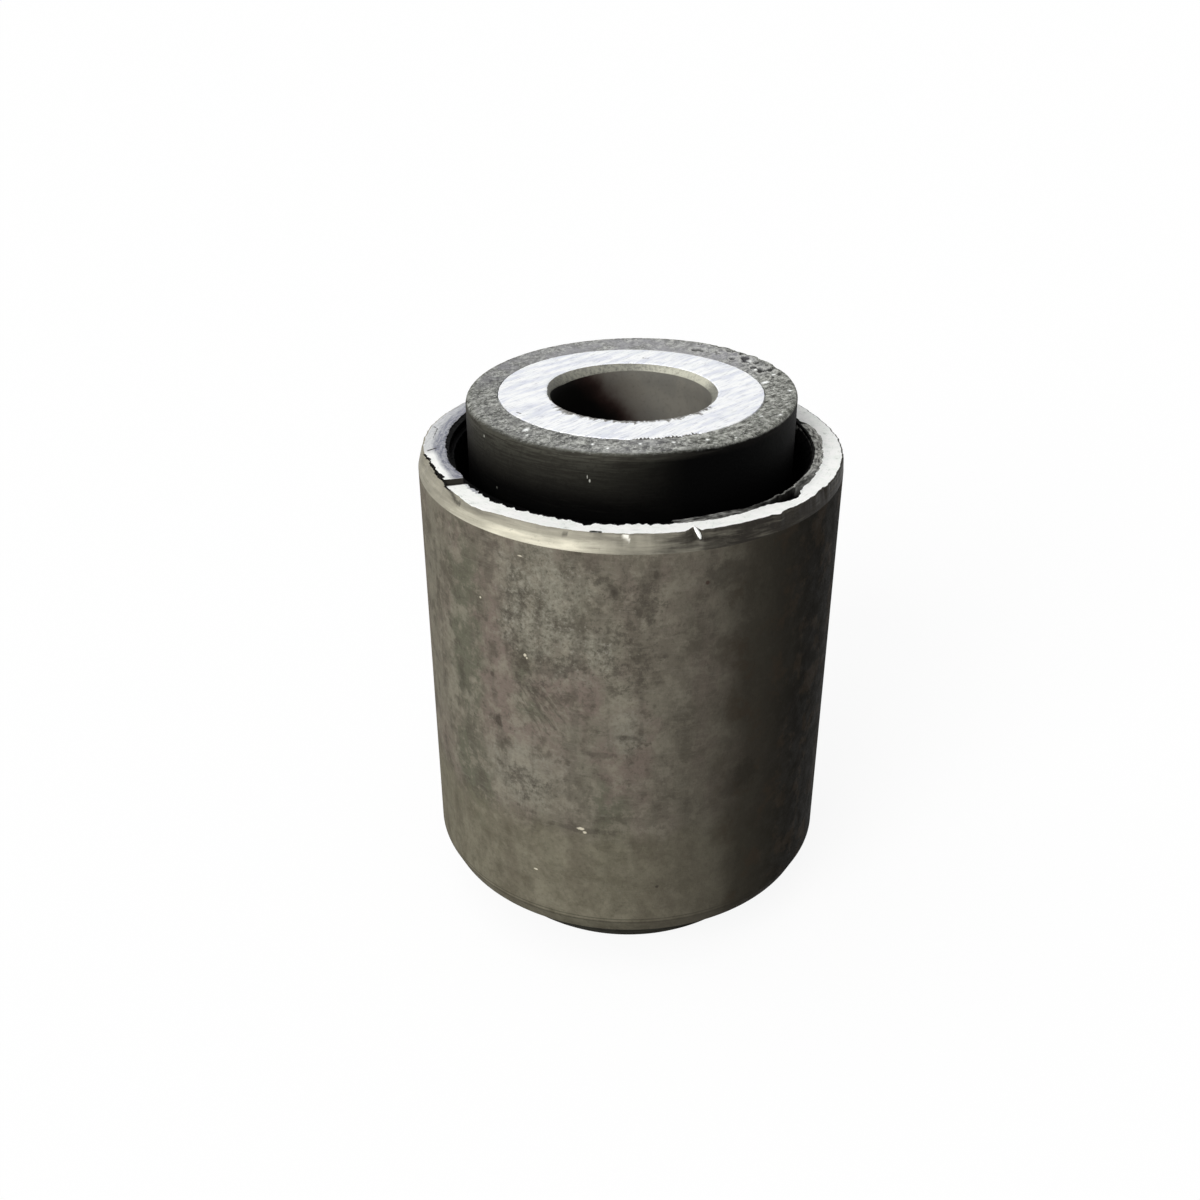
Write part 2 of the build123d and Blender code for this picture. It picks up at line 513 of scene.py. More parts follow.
# zones and marks on the wall, each a (degrees from the front, height, wide, tall)
greenish_zones = ((-46, 28, 3.0, 9.0), (-47, 17, 2.6, 5.0), (-4, 17.5, 1.6, 4.0), (-27, 25.5, 2.2, 3.2))
mauve_zones = ((-36, 27, 1.9, 9.0), (-30, 20.5, 3.6, 3.6), (-1, 21.5, 2.4, 4.2), (-16, 26, 3.0, 2.4))
pale_zones = ((-21, 32.5, 3.8, 4.6), (-30, 18.5, 3.4, 3.0), (-7, 30.0, 1.2, 1.6), (-1, 23.2, 1.5, 2.0))
gritty_zones = ((-18, 31.5, 5.5, 6.0), (1, 31, 2.6, 6.0))
sooty_zones = (
    (4.5, 33.5, 1.1, 3.0), (2.5, 28.4, 1.2, 2.2), (-3.5, 34.5, 1.0, 0.9), (-29.5, 31.5, 1.0, 4.0),
    (-3, 31.4, 1.5, 1.0), (-4.6, 29.2, 1.0, 1.8), (1, 27.0, 0.9, 0.9), (0.5, 22.6, 1.0, 0.9),
    (-28.5, 28.2, 1.1, 2.4), (-27, 17.5, 2.6, 1.6), (-24, 26.0, 1.4, 0.9), (-18, 28.6, 1.8, 1.0),
    (-6.9, 35.4, 0.7, 0.5),
)
white_flecks = (
    (-12.0, 14.5, 0.3, 0.13), (-11.0, 14.2, 0.14, 0.12), (-25.5, 9.6, 0.2, 0.08), (-26.7, 28.6, 0.13, 0.13),
    (-26.2, 28.4, 0.08, 0.09), (-27.2, 36.3, 0.2, 0.06), (-40.5, 32.0, 0.08, 0.08),
)
# single stains, with their depth as well
stains = (
    (-11.5, 14.4, 2.2, 0.3, 0.4), (-7, 21.3, 1.2, 0.3, 0.4), (3.6, 23.2, 0.2, 1.0, 0.25),
    (-0.5, 22.9, 0.8, 0.2, 0.4), (-35.8, 22.2, 0.3, 0.6, 0.6), (33, 18.3, 1.2, 1.2, 0.7),
    (29, 17.2, 1.0, 0.8, 0.6), (8.5, 9.2, 0.16, 0.16, 0.8), (24, 35.4, 1.8, 1.0, 0.6),
    (-3.4, 34.5, 0.3, 0.4, 0.55), (-50.5, 24, 0.5, 1.6, 0.4), (-20, 27.6, 1.4, 0.4, 0.35),
    (-37.5, 26.0, 0.2, 0.25, 0.5), (6.4, 35.8, 0.2, 0.35, 0.5), (3.9, 34.8, 0.2, 0.35, 0.4),
    (2.6, 33.0, 0.2, 0.35, 0.4),
)


def pickled_wall():
    """Matt tube wall: pickled grey-brown, mottled and stained, with painted shade that takes one side to near
    black.
    """
    wall = RoundFinish("pickled_wall", metal=0.0, gloss=0.04)
    fog = wall.grain(6.0, stretch=(1, 1, 1.8), roughness=0.6)
    warm = wall.grain(3.2, stretch=(1, 1, 2.4), detail=5, roughness=0.62, shift=21)
    streak = wall.grain(1.3, stretch=(1, 1, 6), detail=5, roughness=0.6, shift=51)
    cloud = wall.grain(1.1, detail=6, roughness=0.68, shift=5)
    broad_cloud = wall.grain(2.3, detail=6, roughness=0.66, shift=61)
    grit = wall.grain(0.3, roughness=0.7, shift=9)
    coarse_grit = wall.grain(0.6, detail=6, roughness=0.74, shift=27)
    lines = wall.grain(0.16, stretch=(9, 9, 1), detail=3, shift=14)
    drift = wall.grain(
        1.2, stretch=(1.5, 1, 1), detail=6, roughness=0.7, turn=50, shift=71, place=wall.unrolled()
    )
    ripples = wall.grain(0.35, stretch=(3.2, 1, 1), turn=52, place=wall.unrolled())
    wander = wall.grain(2.2, detail=6, roughness=0.7, shift=33)
    wide_wander = wall.grain(4.0, detail=5, roughness=0.65, shift=41)

    pale = wall.blots(pale_zones, 3.2, wander)
    sooty = wall.blots(sooty_zones, 2.6, wander)
    gritty = wall.between(wall.blots(gritty_zones, 1.6, wander), 0, 1, 0.45, 1.0)
    rippled = wall.blot(-22, 24.6, 2.6, 2.8, 2.4, wander)
    low = wall.between(wall.plus(wall.height, wall.times(wander, 6.0)), 18.4, 15.8)
    # painted shade: a little darker low down on the right, fading out towards the back
    dim = wall.times(wall.between(wall.height, 29, 22), wall.between(wall.swing, -22, 4))
    dim = wall.times(dim, wall.between(wall.swing, 158, 96))

    base = wall.coats(
        (117, 113, 100),
        (fog, 0.35, 0.68, 1.0, (106, 100, 89)),
        (warm, 0.45, 0.66, 0.6, (112, 101, 93)),
    )
    base = wall.layer(wall.times(wall.blots(greenish_zones, 3.2, wander), 0.85), base, (94, 94, 80))
    base = wall.layer(wall.times(wall.blots(mauve_zones, 3.2, wander), 0.85), base, (117, 105, 97))
    base = wall.layer(wall.times(pale, 0.8), base, (128, 125, 112))
    base = wall.coats(
        base,
        (streak, 0.5, 0.64, 0.5, (88, 83, 74)),
        (broad_cloud, 0.5, 0.64, 0.7, (84, 79, 69)),
        (broad_cloud, 0.46, 0.34, 0.62, (136, 131, 117)),
        (cloud, 0.5, 0.66, 0.6, (134, 128, 114)),
        (cloud, 0.47, 0.32, 0.7, (78, 73, 64)),
        (lines, 0.52, 0.72, 0.25, (134, 129, 118)),
    )
    base = wall.layer(wall.times(low, 0.45), base, (108, 104, 86))
    soot = wall.times(wall.spots(coarse_grit, sooty, 0.68, 0.5, 0.18), 0.56)
    soot = wall.times(soot, wall.minus(1.0, wall.times(low, 0.5)))
    base = wall.layer(soot, base, (60, 55, 49))
    base = wall.coats(base, (grit, 0.5, 0.34, 0.6, (77, 73, 65)), zone=gritty)
    glints = wall.times(wall.spots(grit, pale, 0.68, 0.58, 0.14), 0.45)
    base = wall.layer(wall.times(glints, gritty), base, (154, 150, 138))
    base = wall.layer(wall.times(dim, 0.18), base, (60, 56, 48))
    base = wall.coats(
        base,
        (warm, 0.46, 0.62, 0.3, (80, 76, 64)),
        (drift, 0.5, 0.66, 0.26, (130, 126, 108)),
        (drift, 0.48, 0.34, 0.3, (80, 75, 61)),
        zone=low,
    )
    base = wall.coats(
        base,
        (ripples, 0.5, 0.66, 0.6, (78, 74, 66)),
        (ripples, 0.46, 0.34, 0.5, (134, 129, 116)),
        zone=rippled,
    )

    # lower chamfer darkened with painted shade, as it faces down, with two turned lines above it
    base = wall.coats(base, (wall.height, 5.8, 5.6, 0.25, (44, 41, 35)))
    for height, thick in ((5.72, 0.12), (6.02, 0.07)):
        away = wall.math("ABSOLUTE", wall.minus(wall.height, height))
        base = wall.coats(base, (away, thick, thick * 0.3, 0.45, (44, 41, 35)))
    for *place, depth in stains:
        base = wall.layer(wall.times(wall.blot(*place, 2.4, coarse_grit), depth), base, (52, 47, 42))
    for place in white_flecks:
        base = wall.layer(wall.times(wall.blot(*place, 1.6, grit), 0.8), base, (222, 214, 192))
    base = wall.layer(wall.times(wall.blot(19.2, 34.9, 0.16, 0.17, 0, grit), 0.85), base, (54, 26, 22))

    # painted shade: the near black side, which fades out again towards the back
    wavy = wall.plus(wall.swing, wall.sway(wide_wander, 10.0))
    wavy = wall.plus(wavy, wall.times(cloud, 5.0))
    back = wall.between(wavy, 158, 96)
    base = wall.coats(
        base,
        (wavy, 0, 30, 0.6, (68, 64, 57)),
        (wavy, 24, 36, 0.7, (36, 33, 27)),
        (wavy, 32, 60, 0.84, (13, 12, 10)),
        zone=back,
    )
    patchy = wall.times(wall.between(wavy, 24, 36), back)
    base = wall.coats(base, (broad_cloud, 0.5, 0.62, 0.55, (58, 50, 41)), zone=patchy)
    rough = wall.between(cloud, 0.3, 0.7, 0.66, 0.86)
    grains = wall.times(grit, gritty)
    return wall.finish(base, rough, (cloud, 0.05), (coarse_grit, 0.05), (grains, 0.03))


def turned_chamfer():
    """Press-in chamfer, turned and scored: cream-bright on one side with a painted highlight, dull on the
    other with painted shade.
    """
    steel = Finish("turned_chamfer", metal=0.1, gloss=0.08)
    lines = steel.grain(0.09, stretch=(24, 24, 1))
    broad = steel.grain(0.3, stretch=(12, 12, 1), roughness=0.6, shift=4)
    clouds = steel.grain(1.0, stretch=(2, 2, 1), detail=5, roughness=0.65, shift=8)
    grit = steel.grain(0.22, roughness=0.65, shift=19)
    # painted highlight and shade, from the mask painted round the axis
    glow = steel.mark("bright")
    wander = steel.minus(steel.plus(broad, steel.times(clouds, 0.6)), 0.8)
    glow = steel.plus(glow, steel.times(wander, steel.between(glow, 0.1, 0.6, 0.6, 0.5)))
    base = steel.coats(
        (44, 41, 37),
        (glow, 0.0, 0.5, 1.0, (146, 142, 128)),
        (glow, 0.42, 1.0, 1.0, (224, 219, 199)),
        (lines, 0.58, 0.72, 0.3, (100, 96, 86)),
        (grit, 0.58, 0.74, 0.3, (92, 88, 78)),
    )
    base = steel.layer(steel.mark("dirt"), base, (52, 49, 43))
    base = steel.layer(steel.times(steel.mark("blue"), 0.75), base, (250, 248, 238))
    return steel.finish(base, steel.between(lines, 0.3, 0.7, 0.42, 0.62), (lines, 0.012), (broad, 0.02))


def faced_rim():
    """The rim as the facing tool left it: white and faintly streaked along, with a painted bluish reflection
    at the back.
    """
    steel = RoundFinish("faced_rim", metal=0.1, gloss=0.12)
    grit = steel.grain(0.22, detail=5, roughness=0.7)
    clouds = steel.grain(0.9, detail=5, roughness=0.65, shift=2)
    streaks = steel.grain(0.16, stretch=(1, 7, 1), roughness=0.6, place=steel.rings())
    blue = steel.mark("blue")
    base = steel.coats(
        (255, 255, 252),
        (clouds, 0.4, 0.7, 1.0, (244, 247, 242)),
        (streaks, 0.56, 0.7, 0.5, (206, 208, 203)),
    )
    # painted bluish reflection where the blue mask says, and the blue-grey of the flake
    base = steel.layer(steel.times(blue, steel.between(streaks, 0.35, 0.65, 1.0, 0.7)), base, (118, 120, 134))
    base = steel.coats(base, (grit, 0.53, 0.66, 0.6, (92, 93, 98)), zone=blue)
    # dark where the mask says: nicks, and painted shade on the step face and round the inner edge
    dirt = steel.plus(steel.mark("dirt"), steel.sway(grit, 0.8))
    base = steel.coats(
        base,
        (grit, 0.6, 0.72, 0.5, (172, 174, 172)),
        (grit, 0.42, 0.28, 0.6, (248, 248, 246)),
        (clouds, 0.62, 0.74, 0.5, (150, 150, 144)),
        (dirt, 0.25, 0.7, 1.0, (40, 38, 34)),
    )
    return steel.finish(base, steel.between(grit, 0.3, 0.7, 0.4, 0.6), (grit, 0.02))


def torn_steel():
    """Where the metal broke: nearly black, with greasy lumps in it, and made black with painted shade where
    it lies down in the groove.
    """
    steel = Finish("torn_steel", metal=0.0, gloss=0.02)
    lumps = steel.grain(0.25)
    base = steel.coats((12, 11, 10), (lumps, 0.45, 0.7, 1.0, (38, 36, 33)))
    base = steel.layer(steel.mark("dirt"), base, (3, 3, 3))
    return steel.finish(base, steel.between(lumps, 0.3, 0.7, 0.45, 0.7), (lumps, 0.04))


def make_outer_sleeve():
    skin = Skin(outer_segments)
    angles = skin.angles
    step = np.argmin(abs(angles - lap_to))
    angles[step - 1:step + 3] = [lap_to - 0.07, lap_to - 0.03, lap_to + 0.03, lap_to + 0.07]
    wall, chamfer, face, torn = range(4)

    edge_out = along(angles, rim_outer_edge) + ragged(angles, 22, 1.5, 0.07)
    edge_out += ragged(angles, 25, 1.4, 0.13) * window(angles, -172, -148, 4)
    bright_edge = rim_inner_line(angles)
    flake = window(angles, lap_to + 0.4, -133, 1) * np.clip(0.7 + ragged(angles, 26, 5.0, 1.2), 0, 1)
    edge_in = bright_edge - 0.26 * flake
    broken = rim_break_depth(angles)
    lap = lap_rise * share(angles, lap_from, lap_to) * (angles < lap_to)
    sheared = share(abs(angles - lap_to), 9, 0) * lap_lean
    gap = window(angles, -170, lap_to + 0.5, 3) * (0.75 + ragged(angles, 23, 3, 0.4))

    def upper(radius, above, finish, turn=0.0):
        """Adds a ring above or below the faced end."""
        skin.ring(radius, faced(radius, angles + turn) + above, finish, turn)

    skin.ring(face_radius, outer_bottom, wall)
    skin.tube(outer_radius, (outer_bottom + lead_in_height, outer_bottom + 1.5, 12, 20, 28, 36), wall)
    upper(outer_radius, -lead_in_height - 0.1, wall)
    first_upper = len(skin.rings)
    for part in np.linspace(0, 1, 10):
        radius = blend(outer_radius, edge_out + 0.1, part)
        upper(radius, (lead_in_height - 0.05) * part - lead_in_height, chamfer)
    # the gap under the lap takes the near black torn finish, a painted shadow line
    lips = np.where(gap > 0.3, torn, chamfer)
    upper(edge_out + 0.05, -0.02 - 0.25 * gap, lips)
    upper(edge_out + 0.01, -0.015 - 0.2 * gap, lips)
    for part in np.linspace(0, 1, 22):
        radius = blend(edge_out - 0.01, edge_in, part)
        upper(radius, lap - 0.004, face, sheared * (radius - lap_pivot))
    upper(edge_in - 0.02, lap - 0.03, torn, sheared * (edge_in - lap_pivot))
    upper(edge_in - 0.04, -broken, torn)
    for part in (0.33, 0.66, 1):
        upper(blend(edge_in - 0.04, outer_bore, part), -broken - 0.02, torn)
    upper(outer_bore, -2, torn)
    first_lower = len(skin.rings)
    skin.ring(outer_bore, outer_bottom + 2, torn)
    skin.ring(outer_bore, outer_bottom + 0.05, face)
    skin.ring(outer_bore + 0.06, outer_bottom, face)
    for radius in np.linspace(outer_bore + 0.5, face_radius - 0.4, 4):
        skin.ring(radius, outer_bottom, face)

    dirt = skin.mark("dirt")
    blue = skin.mark("blue")
    bright = skin.mark("bright", 0.03)
    # painted highlight and shade on the chamfer, brightest towards the lamp
    glow = along(angles, chamfer_glow)
    banded = window(angles, -146, -90, 12) * 0.4
    # painted bluish reflection on the rim at the back and along the lap, less on its outer strip
    behind = window(angles, 92, 300, 26) + window(angles, -270, lap_to, 0.5)
    tarnished = np.clip(behind + 0.16 * window(angles, -50, 50, 30), 0, 1)
    rubbed = along(angles, {-180: 0.5, -172: 0.5, -168: 1, -140: 1, 140: 0, 165: 0.4})
    rubbed_from = 14.675 - 0.25 * window(angles, -170, -150, 6)
    # painted shade on the step face of the lap, and round the inner edge of the rim at the back and left
    step_face = window(angles, lap_to - 0.05, lap_to + 0.4, 0.1)
    oily = (window(angles, 120, 300, 10) + window(angles, -240, lap_to, 1)) * 0.45
    for row in range(first_upper, first_lower):
        radius, _, finish, _ = skin.rings[row]
        up_the_slope = share(radius, outer_radius, edge_out)
        bright[row] = glow * (1 - banded * share(up_the_slope, 0.42, 0.58))
        dirt[row] = skin.nicked(row, rim_nicks)
        # painted shade: the torn steel down in the groove is made black, except in the tear
        if np.all(finish == torn):
            dirt[row] = 1 - window(angles, -60, -32, 4)
        if np.all(finish == chamfer):
            blue[row] = skin.nicked(row, chamfer_chips)
        if np.all(finish == face):
            outer_part = share(radius, rubbed_from, rubbed_from + 0.35)
            inner_part = share(radius, edge_in + 0.4, edge_in)
            on_the_flake = share(radius, bright_edge + 0.04, bright_edge - 0.04) * flake
            blue[row] = np.maximum(tarnished * (1 - outer_part * rubbed), on_the_flake * 0.8)
            dirt[row] = np.maximum.reduce([dirt[row], step_face, inner_part * oily])
    return skin.make("outer_sleeve_steel", pickled_wall(), turned_chamfer(), faced_rim(), torn_steel())


def make_burr():
    """Shaving left by the tool: it lies on the rim, then bends over the outer corner to a point."""
    turn, root, half_width = math.radians(-73.4), 14.72, 0.145
    stations = (
        # out from the root, above the rim, share of the width, lean to the right
        (0.0, 0.02, 0.3, 0.02), (0.3, 0.06, 0.5, -0.01), (0.52, 0.06, 0.75, -0.01), (0.72, 0.0, 0.95, 0.02),
        (0.88, -0.14, 1.0, 0.08), (1.0, -0.3, 0.85, 0.13), (1.08, -0.44, 0.4, 0.16),
    )
    corners = []
    for out, above, wide, lean in stations:
        for side, lift in ((-1, 0.0), (0, 0.07), (1, 0.0), (0, -0.05)):
            radius, across = root + out + lift * 0.6, lean + side * half_width * wide
            x = radius * math.cos(turn) - across * math.sin(turn)
            y = radius * math.sin(turn) + across * math.cos(turn)
            z = outer_top + faced_slope * y + above + lift
            corners.append((x * MM, y * MM, z * MM))
    last = len(corners) - 4
    quads = [(3, 2, 1, 0)]
    for first in range(0, last, 4):
        for side in range(4):
            after = first + (side + 1) % 4
            quads.append((first + side, after, after + 4, first + side + 4))
    quads.append((last, last + 1, last + 2, last + 3))
    mesh = bpy.data.meshes.new("burr")
    mesh.from_pydata(corners, [], quads)
    mesh.materials.append(faced_rim())
    mesh.update()
    return put("burr", mesh)


for piece in (make_outer_sleeve(), make_burr()):
    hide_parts("outer_sleeve")
    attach(piece, "root")


# ------------------------------------------------------ rubber moulding
# One black moulding fills the space between the sleeves, with a groove round
# each collar and a thin skin up the bore. The upper collar was sawn and ground
# grey with the inner sleeve, and the skin's top edge is torn and smeared.

collar_radius = 12.25
collar_bottom = 0.6
collar_chamfer = 0.45
collar_proud, collar_tilt, tilt_towards = 0.07, 1.9, 45.0
skin_radius = 13.2
groove_depth = 5.0
groove_nose = 0.25
rubber_segments = 1020
hidden = 0.02

# how far in the skin's torn edge reaches, how far down it is torn, and how dusty it is
lip_edge = {
    -180: 13.3, -80: 13.35, -76: 13.5, -63: 13.4, -55: 13.6, -51: 13.45, -42: 13.5, -36: 13.7,
    -24: 13.75, -8: 13.8, 12: 13.8, 24: 13.5, 40: 13.3,
}
lip_torn_down = {-180: 0.7, -82: 0.5, -76: 0.16, -20: 0.16, 18: 0.2, 30: 0.7}
lip_dust = {
    -79: 0, -75: 0.24, -60: 0.2, -53: 0.1, -42: 0.07, -30: 0.1, -20: 0.42, 5: 0.5, 14: 0.75, 22: 0.6,
    30: 0,
}
# white chips ground into the collar's end, each a (degrees, radius, size)
chips = (
    (10.6, 10.25, 0.2), (34.5, 11.2, 0.12), (16.4, 11.3, 0.1), (20, 12.1, 0.1), (26, 10.7, 0.12),
    (-2.3, 11.7, 0.12), (-18.6, 11.9, 0.1), (-26.4, 11.85, 0.14), (-30, 10.6, 0.1), (-52.7, 11.8, 0.08),
    (-59, 12.1, 0.09), (-61.8, 11.0, 0.1), (-74.1, 10.6, 0.1), (-86.4, 10.5, 0.09), (-97.7, 11.2, 0.08),
    (-103.6, 10.8, 0.08), (-132.3, 10.7, 0.17), (-129, 11.2, 0.07),
)
# the largest pits in it, each a (degrees, radius, size, depth)
large_pits = (
    (38.0, 11.4, 0.3, 0.3), (42.6, 10.8, 0.2, 0.2), (16.4, 10.8, 0.16, 0.3), (19, 12.1, 0.26, 0.35),
    (48, 11.8, 0.3, 0.25),
)
# the middle of the shallow hollow worn among them
hollow_turn, hollow_radius = 30, 11.8
# specks on the collar's side, each a (degrees, height, wide, tall)
white_specks = (
    (-13.5, 41.1, 0.045, 0.13), (-12.7, 40.83, 0.075, 0.13), (-57, 41.9, 0.07, 0.1), (-50, 38.5, 0.1, 0.1),
)


def bush_rubber():
    """Rubber, satin black where it was moulded and speckled grey where it was sawn, with a painted sheen on
    its lit side and painted shade in the groove and on its shaded side.
    """
    rubber = RoundFinish("bush_rubber", metal=0.0, gloss=0.02)
    crumbs = rubber.grain(0.2, detail=5, roughness=0.72)
    tufts = rubber.grain(0.4, stretch=(1.3, 1, 1), detail=5, roughness=0.7, turn=-35, shift=17)
    clouds = rubber.grain(1.6, roughness=0.6, shift=6)
    lines = rubber.grain(0.12, stretch=(18, 18, 1), shift=2)
    black = rubber.coats(
        (12, 11, 10),
        (lines, 0.5, 0.72, 0.6, (38, 37, 34)),
        (clouds, 0.45, 0.75, 0.5, (28, 26, 23)),
    )
    # painted sheen: a lighter grey laid on the black where the lit mask says
    worn = rubber.coats(
        (69, 68, 61),
        (lines, 0.4, 0.66, 1.0, (49, 47, 42)),
        (tufts, 0.5, 0.62, 0.35, (40, 38, 33)),
    )
    black = rubber.layer(rubber.mark("lit"), black, worn)
    for place in white_specks:
        black = rubber.layer(rubber.times(rubber.blot(*place, 1.2, crumbs), 0.8), black, (206, 206, 196))
    grey = rubber.coats(
        (101, 102, 96),
        (crumbs, 0.38, 0.62, 1.0, (167, 168, 162)),
        (tufts, 0.51, 0.62, 0.9, (60, 60, 56)),
        (tufts, 0.47, 0.38, 0.75, (205, 206, 199)),
        (clouds, 0.5, 0.66, 0.35, (120, 122, 114)),
        (crumbs, 0.62, 0.69, 0.9, (242, 244, 238)),
    )
    cool = rubber.times(rubber.mark("cool"), rubber.between(clouds, 0.35, 0.65, 0.3, 0.75))
    grey = rubber.layer(cool, grey, (151, 150, 157))
    grey = rubber.layer(rubber.mark("chip"), grey, (250, 252, 250))
    edge = rubber.plus(rubber.mark("ground"), rubber.sway(tufts, 0.9))
    base = rubber.layer(rubber.between(edge, 0.3, 0.7), black, grey)
    # near black where the mask says: painted shade in the groove, in the tear and on the shaded side, and
    # dark pits
    base = rubber.layer(rubber.mark("dirt"), base, (3, 3, 3))
    # grey-white residue, which also lays a painted highlight on the crest of the lip
    smear = rubber.mark("smear")
    smear = rubber.plus(smear, rubber.times(rubber.sway(tufts, 3.2), smear))
    base = rubber.layer(smear, base, (200, 200, 194))
    rough = rubber.between(edge, 0.3, 0.7, 0.55, 0.85)
    return rubber.finish(base, rough, (lines, 0.006), (tufts, 0.035), (crumbs, 0.03))


def sawn(radius, angles):
    """Height of the collar's sawn end: level with the steel inside, and sprung out of true outside."""
    outward = (radius - inner_radius) / (collar_radius - inner_radius)
    lean = math.tan(math.radians(collar_tilt)) * collar_radius * np.cos(np.radians(angles - tilt_towards))
    return inner_top - 0.025 + outward * (collar_proud + lean)


def collar_pits():
    """All the pits in the torn side of the collar's end: small random ones, then the largest."""
    lots = np.random.RandomState(54)
    places = zip(lots.uniform(14, 62, 36), lots.uniform(10.7, 12.3, 36))
    small = [(*place, lots.uniform(0.12, 0.28), lots.uniform(0.12, 0.3)) for place in places]
    return [*small, *large_pits]


def make_rubber():
    skin = Skin(rubber_segments)
    angles = skin.angles
    broken = rim_break_depth(angles)
    tear = share(broken, corner_break, corner_break + tear_depth)
    smeared = window(angles, -79, 17, 3)
    smear_top = blend(-0.6, 0.03 - broken, smeared)
    smear_start = blend(outer_bore + hidden, rim_inner_line(angles) - 0.02, smeared)
    lip = along(angles, lip_edge) + ragged(angles, 31, 1.4, 0.05)
    crest = np.maximum(ragged(angles, 32, 1.8, 0.17) - along(angles, lip_torn_down), smear_top)

    def upper(radius, above):
        """Adds a ring above or below the faced end of the outer sleeve."""
        skin.ring(radius, faced(radius, angles) + above)

    def groove_floor(shoulder, rise, turns):
        """Adds the crowned floor of a groove, from one wall to the other."""
        middle, half = (collar_radius + skin_radius) / 2, (skin_radius - collar_radius) / 2
        for turn in turns:
            skin.ring(middle + half * turn, shoulder + rise * (1 - turn ** 2))

    # up the outside: lower collar, lower groove, bonded ring
    skin.ring(inner_radius - hidden, collar_bottom)
    skin.ring(collar_radius - collar_chamfer, collar_bottom)
    skin.tube(collar_radius, (collar_bottom + collar_chamfer, 2.0, outer_bottom))
    above_collar = len(skin.rings)
    low_floor = outer_bottom + groove_depth - groove_nose
    skin.tube(collar_radius, (7.0, low_floor))
    groove_floor(low_floor, groove_nose, (-0.6, -0.2, 0.2, 0.6))
    skin.tube(skin_radius, (low_floor, outer_bottom + 0.2))
    skin.tube(outer_bore + hidden, (outer_bottom + 0.2, outer_top - 3.0))
    upper(outer_bore + hidden, -broken - 0.3)

    # across the smeared top of the skin and its torn lip, and down the upper groove
    first_top = len(skin.rings)
    for number, part in enumerate(np.linspace(0, 1, 9)):
        above = smear_top + ragged(angles, 40 + number, 1.1, 0.02)
        upper(blend(smear_start, lip + 0.22, part), above)
    upper(lip + 0.21, np.minimum(crest - 0.1, smear_top))
    first_lip = len(skin.rings)
    for out, down in ((0.2, 0.02), (0.08, 0.0), (0.01, 0.03)):
        upper(lip + out, crest - down)
    last_top = len(skin.rings)
    upper((lip * 2 + skin_radius) / 3, crest - 0.4)
    upper(skin_radius, crest - 1.1)
    high_floor = outer_top - groove_depth + groove_nose
    skin.tube(skin_radius, (outer_top - 3.0, high_floor))
    groove_floor(high_floor, -groove_nose, (0.6, 0.2, -0.2, -0.6))
    skin.tube(collar_radius, np.linspace(high_floor, inner_top - 0.75, 18))

    # over the worn edge of the upper collar and across its sawn end
    first_ground = len(skin.rings)
    chipped = ragged(angles, 51, 1.3, 0.06)
    chipped += window(angles, 18, 58, 8) * (ragged(angles, 52, 3.0, 0.3) - 0.08)
    for inward, drop in ((0.0, 0.34), (0.03, 0.2), (0.1, 0.09), (0.2, 0.03), (0.32, 0.0)):
        radius = collar_radius - inward + np.minimum(chipped, 0) * (0.4 - drop) * 2
        skin.ring(radius, sawn(radius, angles) - drop)
    first_pitted = len(skin.rings)
    pits = collar_pits()
    pitted = []
    for number, part in enumerate(np.linspace(0.14, 1, 30)):
        radius = blend(collar_radius - 0.2, inner_radius, part)
        uneven = ragged(angles, 90 + number // 2, 1.5, 0.35)
        deepest = rims = np.zeros_like(angles)
        for degrees, middle, size, depth in pits:
            across = np.radians(angles - degrees) * radius / 1.3
            away = np.hypot(across, radius - middle) / size + uneven
            deepest = np.maximum(deepest, depth * share(away, 1.1, 0.6))
            rims = np.maximum(rims, share(abs(away - 1.4), 0.4, 0))
        pitted.append((share(deepest, 0, 0.12), rims * (deepest < 0.05)))
        rough = np.minimum(ragged(angles, 60 + number, 0.9, 0.04), 0.02)
        skin.ring(radius, sawn(radius, angles) + rough - deepest)
    last_ground = len(skin.rings)
    skin.ring(inner_radius - hidden, inner_top - 0.5)

    titles = ("ground", "dirt", "smear", "lit", "cool", "chip")
    ground, dirt, smear, lit, cool, chip = map(skin.mark, titles)
    ground[first_ground:last_ground] = 1
    ground[first_ground:first_ground + 2] = [[0.35], [0.7]]
    for row, (pit, rims) in enumerate(pitted, first_pitted):
        radius = skin.rings[row][0]
        hollow = np.hypot((angles - hollow_turn) * 0.2 / 1.1, radius - hollow_radius) / 0.62
        hollow = hollow + ragged(angles, 75 + row // 3, 2.0, 0.25)
        dirt[row] = np.maximum(pit * 0.8, share(hollow, 1.1, 0.8) * 0.34)
        smear[row] = np.maximum(rims * 0.55, window(angles, 50, 150, 30) * 0.1) * share(hollow, 0.5, 1.0)
        for degrees, place, size in chips:
            across = np.radians(angles - degrees) * radius
            away = np.hypot(across, (radius - place) * 0.8) / size
            chip[row] = np.maximum(chip[row], np.clip(1.6 - away, 0, 1))
    cool[first_pitted:last_ground] = along(angles, {
        -180: 0.2, -100: 0.3, -80: 0.5, -65: 0, 15: 0.1, 40: 0.9, 150: 0.9, 170: 0.5,
    })
    dirt[first_ground:last_ground] += along(angles, {-180: 0.1, -120: 0.08, -95: 0, 120: 0, 150: 0.1})
    # painted sheen on the lit side of the collar
    lit_side = window(angles, -175, -82, 30)
    lit[first_ground:last_ground] = lit_side
    faded = window(angles, -170, -50, 50) * 0.75
    for row in range(first_ground, last_ground):
        ground[row] *= 1 - faded * share(skin.rings[row][0], 11.45, 12.2)
